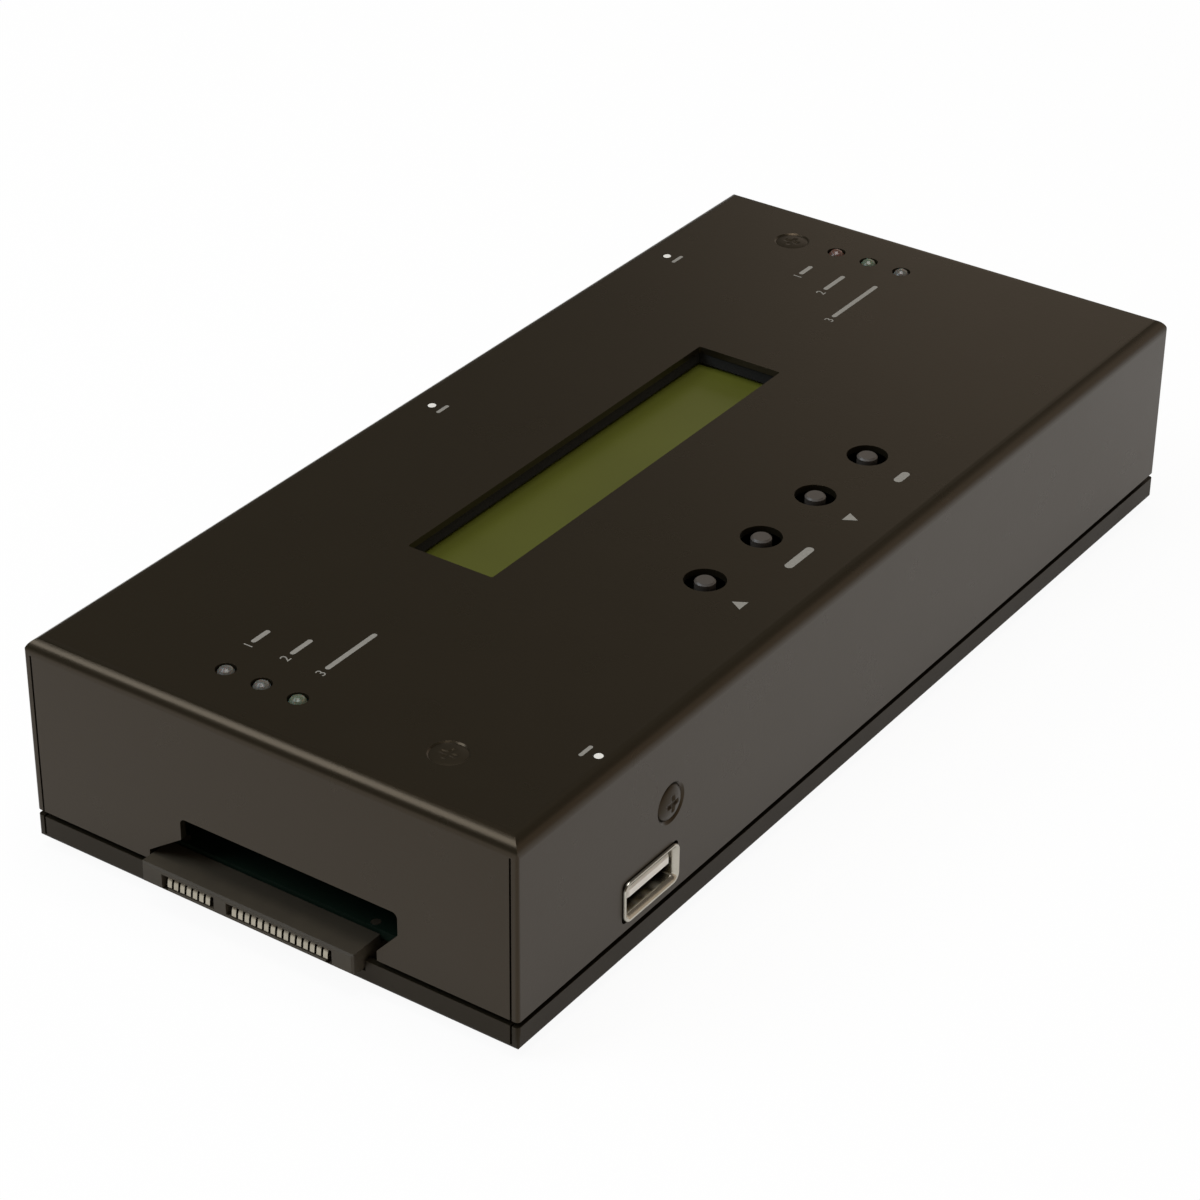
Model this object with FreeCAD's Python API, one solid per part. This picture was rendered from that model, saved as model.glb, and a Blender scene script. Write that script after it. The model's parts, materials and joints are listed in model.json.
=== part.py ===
"""Stand-alone drive duplicator: a folded steel case with a SATA receptacle at each end.

Units are millimetres.  +X runs from the source end to the target end, -Y is the front long
side, +Z is up.  The origin is the middle of the case, on the surface that the feet stand on.
The target end repeats the source end turned half a turn about Z.
"""
import FreeCAD, Part
import math
import os

from FreeCAD import Vector

os.makedirs("parts", exist_ok=True)

# ---- Case ----
case_length = 200.0
case_width = 94.0
case_height = 37.1
sheet = 1.2
foot_height = 1.8
foot_radius = 6.0
foot_rim = 0.8
foot_from_end = 15.0
foot_from_side = 13.0
lip_height = 4.2
seam_gap = 1.0
cover_bend = 2.8
tray_bend = 0.8
corner_round = 0.6
corner_slot = 0.35

# ---- Tabs of the tray that the cover slides over ----
tab_clearance = 0.2
tab_rise = 26.7
tab_width = 19.0
tab_joggle = 1.6
tab_corner = 2.5
tab_nut_radius = 3.0
tab_nut_length = 2.6
side_screw_from_end = 39.3
side_screw_rise = 22.0
side_screw_length = 6.0
side_head_recess = 0.4

# ---- Screws (M3, M2.5) and their clearances ----
thread_clearance = 0.05
screw_radius = 1.45
hole_clearance = 0.2
flat_head_radius = 3.2
cap_head_radius = 2.7
cap_head_height = 1.9
cross_width = 0.7
cross_length = 2.8
cross_depth = 0.9
top_screw_from_end = 12.9
top_screw_from_side = 21.8
top_screw_length = 8.0
top_head_recess = 0.05
pillar_across_flats = 6.0

# ---- Boards ----
board_thickness = 1.6
standoff_height = 4.1
standoff_across_flats = 6.0
board_fix_from_end = 16.0
board_fix_from_side = 12.0
main_board_side_gap = 2.8
panel_board_end_gap = 6.8
panel_board_side_gap = 5.8
spacer_across_flats = 5.5
spacer_stud_length = 4.4
spacer_bore_depth = 8.0
board_screw_length = 6.0

# ---- Display ----
window_length = 85.0
window_width = 16.8
window_x = -1.1
window_y = 7.3
window_corner = 0.4
display_depth = 3.8
glass_thickness = 2.2
glass_length = 96.0
glass_width = 24.0
backlight_thickness = 3.0
frame_wall = 0.5
frame_play = 0.3
frame_border = 4.5
gasket_margin = 0.2
gasket_border = 3.0
lcd_board_length = 116.0
lcd_board_width = 37.0
lcd_fix_from_end = 3.5
lcd_fix_from_side = 3.0
lcd_gap = 2.5
lcd_screw_radius = 1.2
lcd_head_radius = 2.2
lcd_head_height = 1.5
lcd_screw_length = 3.9
lcd_spacer_across_flats = 4.8
lcd_pin_count = 16
lcd_pin_from_end = 36.0
lcd_pin_from_side = 2.5

# ---- Keys ----
key_count = 4
key_pitch = 16.5
key_first_x = -24.6
key_from_front = 18.1
key_hole_radius = 3.5
key_body_size = 6.0
key_body_height = 3.5
key_frame_thickness = 0.3
key_plunger_radius = 1.75
key_running_clearance = 0.08
key_flange_radius = 2.2
key_flange_height = 0.8
key_travel = 0.25
key_cavity_depth = 2.0
key_above_cover = 0.1
key_chamfer = 0.3
key_rest_gap = 0.03

# ---- Indicator lamps ----
led_radius = 1.5
led_hole_clearance = 0.2
led_height = 5.3
led_flange_radius = 1.9
led_flange_height = 1.0
led_above_cover = 0.5
led_pitch = 7.0
led_middle_y = 8.9
source_led_from_end = 11.4
target_led_from_end = 12.1
led_lead_size = 0.5
led_lead_spacing = 2.54
led_spacer_size = 4.0
led_dome_steps = 4

# ---- Board-to-board link ----
pin_pitch = 2.54
pin_size = 0.64
link_columns = 10
link_x = 58.0
link_y = -16.0
link_socket_height = 8.5
link_insulator = 2.5
link_width = 5.0

# ---- SATA receptacles ----
sata_reach = 2.5
sata_depth = 6.7
sata_width = 41.5
sata_height = 3.8
sata_rise = 2.6
sata_y = 2.4
sata_shelf = 3.2
sata_shelf_drop = 0.4
sata_corner = 0.7
sata_board_gap = 0.4
sata_peg_radius = 0.8
sata_peg_inset = 2.0
mouth_depth = 5.6
mouth_height = 2.2
mouth_floor = 0.8
data_slot = 10.41
slot_wall = 2.41
power_slot = 20.57
key_notch_width = 1.2
key_notch_height = 0.55
contact_pitch = 1.27
contact_width = 0.84
contact_thickness = 0.25
contact_hump = 1.35
contact_tail = 2.2
contact_rise = 1.0
contact_tip_setback = 0.6
contact_tip_drop = 1.0
contact_crown = 1.0
contact_slope = 1.9
data_contacts = 7
power_contacts = 15
port_right = -25.0
port_left = 16.8
port_top = 15.6
port_shoulder = 11.6
port_waist = 7.0
port_foot_clearance = 2.6
port_corner = 1.0
notch_clearance = 0.35

# ---- USB receptacles ----
usb_from_end = 34.0
usb_body_width = 13.2
usb_body_height = 5.8
usb_flare_width = 14.7
usb_flare_height = 7.3
usb_flare_depth = 1.2
usb_shell = 0.3
usb_length = 14.0
usb_axis_above_board = 3.6
usb_proud = 0.5
usb_corner = 0.8
usb_cut_clearance = 0.15
usb_leg_length = 2.4
usb_leg_width = 1.6
tongue_width = 11.1
tongue_thickness = 1.8
tongue_above_axis = 0.9
tongue_setback = 0.7
tongue_root = 3.0
usb_contact_count = 4
usb_contact_pitch = 2.3
usb_contact_width = 1.0

# ---- Power jack ----
jack_x = -8.5
jack_width = 9.0
jack_height = 11.0
jack_length = 14.0
jack_axis_above_board = 6.3
jack_bore_radius = 3.2
jack_bore_depth = 9.5
jack_pin_radius = 1.0
jack_pin_setback = 1.0
jack_flange = 3.4
jack_waist = 0.6
jack_spring_thickness = 0.3
jack_spring_width = 2.6
wall_fit = 0.3

# ---- Power switch ----
switch_x = 8.5
switch_width = 13.6
switch_height = 9.4
switch_length = 12.0
switch_axis_above_board = 4.9
switch_wall = 0.9
rocker_play = 0.3
rocker_tilt = 8.0
rocker_pivot_depth = 2.6
rocker_tip_above_pivot = 2.9
rocker_root = 3.2
rocker_root_width = 5.0
rocker_pin_radius = 1.1
terminal_width = 1.2
terminal_thickness = 0.5
terminal_spacing = 4.7

# ---- Parts on the main board: x, y, length, width, height ----
controller = (2.0, -2.0, 24.0, 24.0, 1.6)
bridge_chip = (60.0, 12.0, 14.0, 14.0, 1.2)
chip_lead_reach = 1.2
chip_lead_thickness = 0.2
memory_chip = (-26.0, -4.0, 22.0, 10.2, 1.1)
inductor = (-44.0, 22.0, 9.0, 9.0, 4.5)
inductor_pitch = 13.0
inductor_count = 2
capacitor = (-36.0, -26.0, 3.15, 7.0)
capacitor_pitch = 9.5
capacitor_count = 3
crystal = (24.0, 8.0, 10.5, 4.4, 3.4)
buzzer = (-64.0, 22.0, 6.0, 8.5)
buzzer_port_radius = 1.0
regulator = (34.0, 26.0, 6.6, 6.1, 2.3)
regulator_pitch = 12.0
regulator_count = 2

# ---- Heights worked out from the values above ----
half_length = case_length / 2
half_width = case_width / 2
tray_bottom = foot_height
tray_floor = tray_bottom + sheet
lip_top = tray_bottom + lip_height
cover_bottom = lip_top + seam_gap
cover_top = tray_bottom + case_height
cover_under = cover_top - sheet
main_bottom = tray_floor + standoff_height
main_top = main_bottom + board_thickness
glass_top = cover_top - display_depth
backlight_top = glass_top - glass_thickness
lcd_top = backlight_top - backlight_thickness
lcd_bottom = lcd_top - board_thickness
panel_top = lcd_bottom - lcd_gap
panel_bottom = panel_top - board_thickness
frame_top = glass_top + frame_wall
sata_front = half_length + sata_reach
main_board_half_length = sata_front - sata_depth - sata_board_gap
bore_radius = screw_radius + thread_clearance
clear_radius = screw_radius + hole_clearance


# ---- Small shape tools ----
def block(x0, x1, y0, y1, z0, z1):
    """Box between two opposite corners."""
    return Part.makeBox(x1 - x0, y1 - y0, z1 - z0, Vector(x0, y0, z0))


def plate(x, y, length, width, z0, z1, corner=0.0):
    """Flat plate about (x, y), with its upright edges rounded."""
    shape = block(x - length / 2, x + length / 2, y - width / 2, y + width / 2, z0, z1)
    if corner > 0:
        shape = shape.makeFillet(corner, straight_edges(shape, Vector(0, 0, 1)))
    return shape


def disc(x, y, radius, z0, z1):
    """Upright cylinder."""
    return Part.makeCylinder(radius, z1 - z0, Vector(x, y, z0))


def straight_edges(shape, along, level=None):
    """Edges that run along a direction, and lie at one height if a level is given."""
    found = []
    for edge in shape.Edges:
        run = edge.Vertexes[-1].Point.sub(edge.Vertexes[0].Point)
        if run.Length < 1e-6 or abs(abs(run.normalize().dot(along)) - 1) > 1e-6:
            continue
        if level is None or abs(edge.CenterOfMass.z - level) < 1e-6:
            found.append(edge)
    return found


def joined(shapes):
    """One solid from pieces that touch."""
    return shapes[0].multiFuse(shapes[1:]).removeSplitter()


def extruded(points, direction):
    """Prism of a closed outline of points."""
    wire = Part.makePolygon(points + [points[0]])
    return Part.Face(wire).extrude(direction)


def revolved(profile, x, y):
    """Solid of (radius, z) points turned about an upright line."""
    points = [Vector(radius, 0, z) for radius, z in profile]
    face = Part.Face(Part.makePolygon(points + [points[0]]))
    shape = face.revolve(Vector(0, 0, 0), Vector(0, 0, 1), 360)
    shape.translate(Vector(x, y, 0))
    return shape


def turned(shape):
    """The same piece at the target end: half a turn about Z."""
    copy = shape.copy()
    copy.rotate(Vector(0, 0, 0), Vector(0, 0, 1), 180)
    return copy


def four_corners(from_end, from_side, length=case_length, width=case_width, x=0.0, y=0.0):
    """Centres set in from the four corners of a rectangle about (x, y)."""
    dx = length / 2 - from_end
    dy = width / 2 - from_side
    return [(x + sx * dx, y + sy * dy) for sx in (-1, 1) for sy in (-1, 1)]


def save(node, *solids):
    """Write one sub-part, or a group of like solids, to its STEP file."""
    shape = solids[0] if len(solids) == 1 else Part.makeCompound(list(solids))
    shape.exportStep(f"parts/{node}.step")


# ---- Positions shared by several pieces ----
key_y = -half_width + key_from_front
key_places = [(key_first_x + i * key_pitch, key_y) for i in range(key_count)]
lamp_rows = {
    "source": [(-half_length + source_led_from_end, led_middle_y + i * led_pitch) for i in (1, 0, -1)],
    "target": [(half_length - target_led_from_end, led_middle_y + i * led_pitch) for i in (1, 0, -1)],
}
lamp_places = lamp_rows["source"] + lamp_rows["target"]
board_fix = four_corners(board_fix_from_end, board_fix_from_side)
lcd_fix = four_corners(
    lcd_fix_from_end, lcd_fix_from_side, lcd_board_length, lcd_board_width, window_x, window_y
)
pillar_x = half_length - top_screw_from_end
pillar_y = half_width - top_screw_from_side
pillar_places = [(-pillar_x, -pillar_y), (pillar_x, pillar_y)]
side_screw_x = -half_length + side_screw_from_end
side_screw_z = tray_bottom + side_screw_rise
usb_x = -half_length + usb_from_end
usb_z = main_top + usb_axis_above_board
usb_front = -half_width - usb_proud
jack_z = main_top + jack_axis_above_board
switch_z = main_top + switch_axis_above_board


# ---- Fasteners ----
def cross_recess(top):
    """Cross-shaped drive recess sunk from a head's top face."""
    arm = block(
        -cross_length / 2, cross_length / 2, -cross_width / 2, cross_width / 2, top - cross_depth, top
    )
    other = arm.copy()
    other.rotate(Vector(0, 0, 0), Vector(0, 0, 1), 90)
    return arm.fuse(other)


def flat_screw(length):
    """Countersunk screw with its head's face at z = 0 and its shank down."""
    cone = flat_head_radius - screw_radius
    body = revolved(
        [(0, 0), (flat_head_radius, 0), (screw_radius, -cone), (screw_radius, -length), (0, -length)], 0, 0
    )
    return body.cut(cross_recess(0))


def cap_screw(x, y, seat, head_radius, head_height, shank_radius, length):
    """Plain-headed screw whose head seats at a height and whose shank goes down."""
    head = disc(x, y, head_radius, seat, seat + head_height)
    return head.fuse(disc(x, y, shank_radius, seat - length, seat))


def countersink(recess, depth, hole_radius):
    """Cutter for a flat head sunk by recess below z = 0: its cone opens upwards."""
    mouth = flat_head_radius + recess
    drop = mouth - hole_radius
    margin = 0.5
    profile = [
        (0, margin),
        (mouth + margin, margin),
        (hole_radius, -drop),
        (hole_radius, -depth),
        (0, -depth),
    ]
    return revolved(profile, 0, 0)


def to_front_wall(shape, x, y, z):
    """Lay a shape that points up so that it points out of the front wall."""
    copy = shape.copy()
    copy.rotate(Vector(0, 0, 0), Vector(1, 0, 0), 90)
    copy.translate(Vector(x, y, z))
    return copy


# ---- Case ----
def folded_block(length, width, low, high, bend, corner, bend_level):
    """Block whose long and short edges at one level are rounded like folded sheet."""
    along_x = plate(0, 0, length, width, low, high)
    along_x = along_x.makeFillet(bend, straight_edges(along_x, Vector(1, 0, 0), bend_level))
    along_y = plate(0, 0, length, width, low, high)
    along_y = along_y.makeFillet(bend, straight_edges(along_y, Vector(0, 1, 0), bend_level))
    upright = plate(0, 0, length, width, low, high, corner)
    return along_x.common(along_y).common(upright)


def corner_slots(low, high):
    """Gaps at the four corners where the end walls meet the long walls' edges."""
    cuts = []
    outer = half_width - sheet
    for end in (-1, 1):
        for side in (-1, 1):
            x0, x1 = sorted((end * (half_length - sheet - 1), end * (half_length + 1)))
            y0, y1 = sorted((side * outer, side * (outer - corner_slot)))
            cuts.append(block(x0, x1, y0, y1, low, high))
    return cuts


def port_cut():
    """Opening in the source end wall: a slot round the SATA receptacle, slanting out to a bay above it."""
    foot_left = sata_y + sata_width / 2 + notch_clearance
    foot_right = sata_y - sata_width / 2 - port_foot_clearance
    outline = [
        (foot_right, cover_bottom - 1),
        (foot_right, tray_bottom + port_waist),
        (port_right, tray_bottom + port_shoulder),
        (port_right, tray_bottom + port_top),
        (port_left, tray_bottom + port_top),
        (port_left, tray_bottom + port_shoulder),
        (foot_left, tray_bottom + port_waist),
        (foot_left, cover_bottom - 1),
    ]
    points = [Vector(-half_length - 1, y, z) for y, z in outline]
    shape = extruded(points, Vector(1 + sheet + cover_bend, 0, 0))
    return shape.makeFillet(port_corner, straight_edges(shape, Vector(1, 0, 0), tray_bottom + port_top))


def wall_window(x, z, width, height, corner):
    """Rounded rectangular cutter through the front wall."""
    shape = block(
        x - width / 2, x + width / 2, -half_width - 1, -half_width + sheet + 1, z - height / 2, z + height / 2
    )
    return shape.makeFillet(corner, straight_edges(shape, Vector(0, 1, 0)))


def usb_cut():
    """Opening in the front wall for the flared shell."""
    grow = 2 * usb_cut_clearance
    return wall_window(
        usb_x, usb_z, usb_flare_width + grow, usb_flare_height + grow, usb_corner + usb_cut_clearance
    )


def side_screw_cut(hole_radius):
    """Countersunk hole for the side screw, through the wall and what lies behind it."""
    cutter = countersink(side_head_recess, side_screw_length + sheet, hole_radius)
    return to_front_wall(cutter, side_screw_x, -half_width, side_screw_z)


def rear_wall_cuts():
    """Openings in the rear wall for the power jack and the power switch."""
    grow = 2 * wall_fit
    jack_mid = main_top + jack_height / 2
    switch_mid = main_top + switch_height / 2
    jack = wall_window(-jack_x, jack_mid, jack_width + grow, jack_height + grow, wall_fit)
    switch = wall_window(-switch_x, switch_mid, switch_width + grow, switch_height + grow, wall_fit)
    return [turned(jack), turned(switch)]


def make_top_cover():
    """Folded cover: rounded top edges, butted corners and every opening of the case."""
    outer = folded_block(
        case_length, case_width, cover_bottom, cover_top, cover_bend, corner_round, cover_top
    )
    inner = folded_block(
        case_length - 2 * sheet,
        case_width - 2 * sheet,
        cover_bottom - 1,
        cover_under,
        cover_bend - sheet,
        0,
        cover_under,
    )
    cuts = [inner]
    cuts += corner_slots(cover_bottom - 1, cover_top - cover_bend)
    cuts += [port_cut(), turned(port_cut()), usb_cut(), turned(usb_cut())]
    cuts += [side_screw_cut(clear_radius), turned(side_screw_cut(clear_radius))]
    cuts += rear_wall_cuts()
    cuts.append(
        plate(window_x, window_y, window_length, window_width, cover_under - 1, cover_top + 1, window_corner)
    )
    for x, y in key_places:
        cuts.append(disc(x, y, key_hole_radius, cover_under - 1, cover_top + 1))
    for x, y in lamp_places:
        cuts.append(disc(x, y, led_radius + led_hole_clearance, cover_under - 1, cover_top + 1))
    for x, y in pillar_places:
        sink = countersink(top_head_recess, top_screw_length, clear_radius)
        sink.translate(Vector(x, y, cover_top))
        cuts.append(sink)
    return outer.cut(cuts)


def tray_tab(screwed):
    """Upright tab of the front lip, joggled inwards behind the cover's wall."""
    outer = -half_width
    step = sheet + tab_clearance
    knee = lip_top - sheet
    shoulder = knee + tab_joggle
    top = tray_bottom + tab_rise
    points = [
        (outer, tray_floor),
        (outer, knee),
        (outer + step, shoulder),
        (outer + step, top),
        (outer + step + sheet, top),
        (outer + step + sheet, shoulder - sheet / 2),
        (outer + sheet, knee - sheet / 2),
        (outer + sheet, tray_floor),
    ]
    x0 = side_screw_x - tab_width / 3 if screwed else -side_screw_x - tab_width / 3
    tab = extruded([Vector(x0, y, z) for y, z in points], Vector(tab_width, 0, 0))
    crown = straight_edges(tab, Vector(0, 1, 0), top)
    tab = tab.makeFillet(tab_corner, crown)
    if not screwed:
        return tab
    usb_side = usb_x + usb_flare_width / 2 + usb_cut_clearance + tab_clearance
    usb_head = usb_z + usb_flare_height / 2 + usb_cut_clearance + tab_clearance
    clearance = block(x0 - 1, usb_side, outer - 1, outer + step + sheet + 1, tray_bottom, usb_head)
    return tab.cut([clearance, side_screw_cut(bore_radius)])


def sata_notch():
    """Gap in the tray's source end lip that the receptacle passes through."""
    low = tray_bottom + sata_rise - notch_clearance
    return block(
        -half_length - 1,
        -half_length + sheet + 1,
        sata_y - sata_width / 2 - notch_clearance,
        sata_y + sata_width / 2 + notch_clearance,
        low,
        lip_top + 1,
    )


def make_base_tray():
    """Folded tray: low lips, four upright tabs, and a notch in each end lip."""
    outer = folded_block(case_length, case_width, tray_bottom, lip_top, tray_bend, corner_round, tray_bottom)
    inner = plate(0, 0, case_length - 2 * sheet, case_width - 2 * sheet, tray_floor, lip_top + 1)
    tray = outer.cut([inner] + corner_slots(tray_bottom + tray_bend, lip_top + 1))
    tabs = [tray_tab(True), tray_tab(False)]
    tray = joined([tray] + tabs + [turned(tab) for tab in tabs])
    return tray.cut([sata_notch(), turned(sata_notch())])


def make_feet():
    """Round rubber feet with a bevelled rim."""
    profile = [
        (0, 0),
        (foot_radius - foot_rim, 0),
        (foot_radius, foot_rim),
        (foot_radius, foot_height),
        (0, foot_height),
    ]
    return [revolved(profile, x, y) for x, y in four_corners(foot_from_end, foot_from_side)]


def make_side_screws():
    """One countersunk screw in each long wall, above the USB port."""
    screw = to_front_wall(
        flat_screw(side_screw_length), side_screw_x, -half_width + side_head_recess, side_screw_z
    )
    return [screw, turned(screw)]


def make_tab_nuts():
    """Clinch nuts behind the screwed tabs."""
    centre = Vector(side_screw_x, -half_width + 2 * sheet + tab_clearance, side_screw_z)
    collar = Part.makeCylinder(tab_nut_radius, tab_nut_length, centre, Vector(0, 1, 0))
    nut = collar.cut(side_screw_cut(bore_radius))
    return [nut, turned(nut)]


def make_top_screws():
    """Flush countersunk screws that hold the cover's top to the pillars."""
    screws = []
    for x, y in pillar_places:
        screw = flat_screw(top_screw_length)
        screw.translate(Vector(x, y, cover_top - top_head_recess))
        screws.append(screw)
    return screws


def make_pillars():
    """Hexagonal pillars that stand on the panel board, bored for the top screws."""
    pillars = []
    for x, y in pillar_places:
        bore = countersink(top_head_recess, top_screw_length + sheet, bore_radius)
        bore.translate(Vector(x, y, cover_top))
        pillars.append(hexagon(x, y, pillar_across_flats, panel_top, cover_under).cut(bore))
    return pillars


# ---- Boards and what carries them ----
def make_standoffs():
    """Hexagonal posts pressed on the tray's floor, bored for the spacers' studs."""
    posts = []
    for x, y in board_fix:
        post = hexagon(x, y, standoff_across_flats, tray_floor, main_bottom)
        posts.append(post.cut(disc(x, y, bore_radius, tray_floor, main_bottom)))
    return posts


def hexagon(x, y, across_flats, z0, z1):
    """Upright hexagonal bar."""
    radius = across_flats / math.sqrt(3)
    turn = [math.radians(60 * i) for i in range(6)]
    points = [Vector(x + radius * math.cos(a), y + radius * math.sin(a), z0) for a in turn]
    return extruded(points, Vector(0, 0, z1 - z0))


def make_spacers():
    """Hexagonal spacers between the boards, with a stud below and a bore above."""
    spacers = []
    for x, y in board_fix:
        bar = hexagon(x, y, spacer_across_flats, main_top, panel_bottom)
        stud = disc(x, y, screw_radius, main_top - spacer_stud_length, main_top)
        bore = disc(x, y, bore_radius, panel_bottom - spacer_bore_depth, panel_bottom)
        spacers.append(bar.fuse(stud).cut(bore))
    return spacers


def make_panel_screws():
    """Screws that fix the panel board to the spacers."""
    return [
        cap_screw(x, y, panel_top, cap_head_radius, cap_head_height, screw_radius, board_screw_length)
        for x, y in board_fix
    ]


def peg_places():
    """Centres of the source receptacle's two pegs."""
    x = -sata_front + sata_depth + sata_shelf / 2
    reach = sata_width / 2 - sata_peg_inset
    return [(x, sata_y - reach), (x, sata_y + reach)]


def make_main_board():
    """Main board on the standoffs, with the pegs' and fixings' holes."""
    width = case_width - 2 * sheet - 2 * main_board_side_gap
    board = plate(0, 0, 2 * main_board_half_length, width, main_bottom, main_top)
    cuts = [disc(x, y, clear_radius, main_bottom - 1, main_top + 1) for x, y in board_fix]
    pegs = [disc(x, y, sata_peg_radius + thread_clearance, main_bottom - 1, main_top + 1) for x, y in peg_places()]
    cuts += pegs + [turned(peg) for peg in pegs]
    return board.cut(cuts)


def lead_places():
    """Centres of the lamps' leads."""
    places = []
    for x, y in lamp_places:
        places += [(x, y - led_lead_spacing / 2), (x, y + led_lead_spacing / 2)]
    return places


def make_panel_board():
    """Upper board that carries the display, the keys and the lamps."""
    length = case_length - 2 * sheet - 2 * panel_board_end_gap
    width = case_width - 2 * sheet - 2 * panel_board_side_gap
    board = plate(0, 0, length, width, panel_bottom, panel_top)
    return board.cut([disc(x, y, clear_radius, panel_bottom - 1, panel_top + 1) for x, y in board_fix])


# ---- Board-to-board link ----
def link_grid():
    """Centres of the link's two rows of pins."""
    start = link_x - (link_columns - 1) * pin_pitch / 2
    rows = (link_y - pin_pitch / 2, link_y + pin_pitch / 2)
    return [(start + i * pin_pitch, y) for i in range(link_columns) for y in rows]


def make_link_socket():
    """Socket strip on the main board, with a square well for each pin."""
    length = link_columns * pin_pitch
    well = pin_size + 4 * thread_clearance
    top = main_top + link_socket_height
    body = plate(link_x, link_y, length, link_width, main_top, top)
    return body.cut([plate(x, y, well, well, main_top + 1, top + 1) for x, y in link_grid()])


def make_link_header():
    """Insulator strip under the panel board."""
    length = link_columns * pin_pitch
    body = plate(link_x, link_y, length, link_width, panel_bottom - link_insulator, panel_bottom)
    return body.cut(
        [plate(x, y, pin_size, pin_size, panel_bottom - link_insulator - 1, panel_bottom + 1) for x, y in link_grid()]
    )


def make_link_pins():
    """Square pins held by the header, with their ends in the socket."""
    low = main_top + link_socket_height / 2
    return [plate(x, y, pin_size, pin_size, low, panel_bottom) for x, y in link_grid()]


# ---- Display ----
def make_gasket():
    """Black ring between the display's frame and the cover, round the window."""
    grow = 2 * gasket_margin
    inner = plate(
        window_x, window_y, window_length + grow, window_width + grow, frame_top - 1, cover_under + 1
    )
    length = window_length + 2 * gasket_border
    width = window_width + 2 * gasket_border
    return plate(window_x, window_y, length, width, frame_top, cover_under).cut(inner)


def make_lcd_frame():
    """Pressed steel frame over the glass, open below and over the view area."""
    length = glass_length + 2 * frame_play
    width = glass_width + 2 * frame_play
    grow = 2 * frame_wall
    outer = plate(window_x, window_y, length + grow, width + grow, lcd_top, frame_top)
    inner = plate(window_x, window_y, length, width, lcd_top - 1, glass_top)
    view_length = glass_length - 2 * frame_border
    view_width = glass_width - frame_border
    view = plate(window_x, window_y, view_length, view_width, lcd_top, frame_top + 1)
    return outer.cut([inner, view])


def make_lcd_board():
    """Display's own board, on four spacers above the panel board."""
    board = plate(window_x, window_y, lcd_board_length, lcd_board_width, lcd_bottom, lcd_top)
    return board.cut([disc(x, y, lcd_screw_radius + hole_clearance, lcd_bottom - 1, lcd_top + 1) for x, y in lcd_fix])


def make_lcd_spacers():
    """Short hexagonal spacers under the display's board."""
    spacers = []
    for x, y in lcd_fix:
        bar = hexagon(x, y, lcd_spacer_across_flats, panel_top, lcd_bottom)
        spacers.append(bar.cut(disc(x, y, lcd_screw_radius + thread_clearance, panel_top, lcd_bottom)))
    return spacers


def make_lcd_screws():
    """Small screws through the display's board."""
    return [
        cap_screw(x, y, lcd_top, lcd_head_radius, lcd_head_height, lcd_screw_radius, lcd_screw_length)
        for x, y in lcd_fix
    ]


def make_lcd_header():
    """Insulator of the display's pin row."""
    length = lcd_pin_count * pin_pitch
    x = window_x - lcd_board_length / 2 + lcd_pin_from_end
    y = window_y + lcd_board_width / 2 - lcd_pin_from_side
    return plate(x, y, length, pin_pitch, panel_top, lcd_bottom)


# ---- Keys ----
def make_key_bodies():
    """Moulded switch bodies with a round well for the plunger's flange."""
    top = panel_top + key_body_height - key_frame_thickness
    bodies = []
    for x, y in key_places:
        body = plate(x, y, key_body_size, key_body_size, panel_top, top)
        well = disc(x, y, key_flange_radius + 2 * key_running_clearance, top - key_cavity_depth, top + 1)
        bodies.append(body.cut(well))
    return bodies


def make_key_frames():
    """Steel cover plates that hold the plungers in."""
    top = panel_top + key_body_height
    frames = []
    for x, y in key_places:
        lid = plate(x, y, key_body_size, key_body_size, top - key_frame_thickness, top)
        frames.append(lid.cut(disc(x, y, key_plunger_radius + key_running_clearance, panel_top, top + 1)))
    return frames


def make_plunger(x, y):
    """Round plunger with a flange under the frame and a bevelled top."""
    top = cover_top + key_above_cover
    under = panel_top + key_body_height - key_frame_thickness - key_rest_gap
    profile = [
        (0, top),
        (key_plunger_radius - key_chamfer, top),
        (key_plunger_radius, top - key_chamfer),
        (key_plunger_radius, under),
        (key_flange_radius, under),
        (key_flange_radius, under - key_flange_height),
        (0, under - key_flange_height),
    ]
    return revolved(profile, x, y)


# ---- Lamps ----
lamp_base = cover_top + led_above_cover - led_height


def make_lamp(x, y):
    """Round indicator lamp: flange, barrel and a domed end of a few cone bands."""
    shoulder = lamp_base + led_height - led_radius
    profile = [
        (0, lamp_base),
        (led_flange_radius, lamp_base),
        (led_flange_radius, lamp_base + led_flange_height),
        (led_radius, lamp_base + led_flange_height),
    ]
    for step in range(led_dome_steps + 1):
        angle = math.radians(90 * step / led_dome_steps)
        profile.append((led_radius * math.cos(angle), shoulder + led_radius * math.sin(angle)))
    profile[-1] = (0, lamp_base + led_height)
    return revolved(profile, x, y)


def make_lamp_spacers():
    """Square moulded blocks, slotted for both leads, that hold the lamps at the cover's height."""
    slot_width = led_lead_size + 2 * thread_clearance
    slot_length = led_lead_spacing + slot_width
    blocks = []
    for x, y in lamp_places:
        body = plate(x, y, led_spacer_size, led_spacer_size, panel_top, lamp_base)
        blocks.append(body.cut(plate(x, y, slot_width, slot_length, panel_top, lamp_base)))
    return blocks


def make_lamp_leads():
    """Two square leads a lamp, down to the panel board."""
    return [plate(x, y, led_lead_size, led_lead_size, panel_top, lamp_base) for x, y in lead_places()]


# ---- SATA receptacles (source end) ----
slots_width = data_slot + slot_wall + power_slot
data_middle = sata_y + slots_width / 2 - data_slot / 2
power_middle = sata_y - slots_width / 2 + power_slot / 2
mouth_low = tray_bottom + sata_rise + mouth_floor


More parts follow.
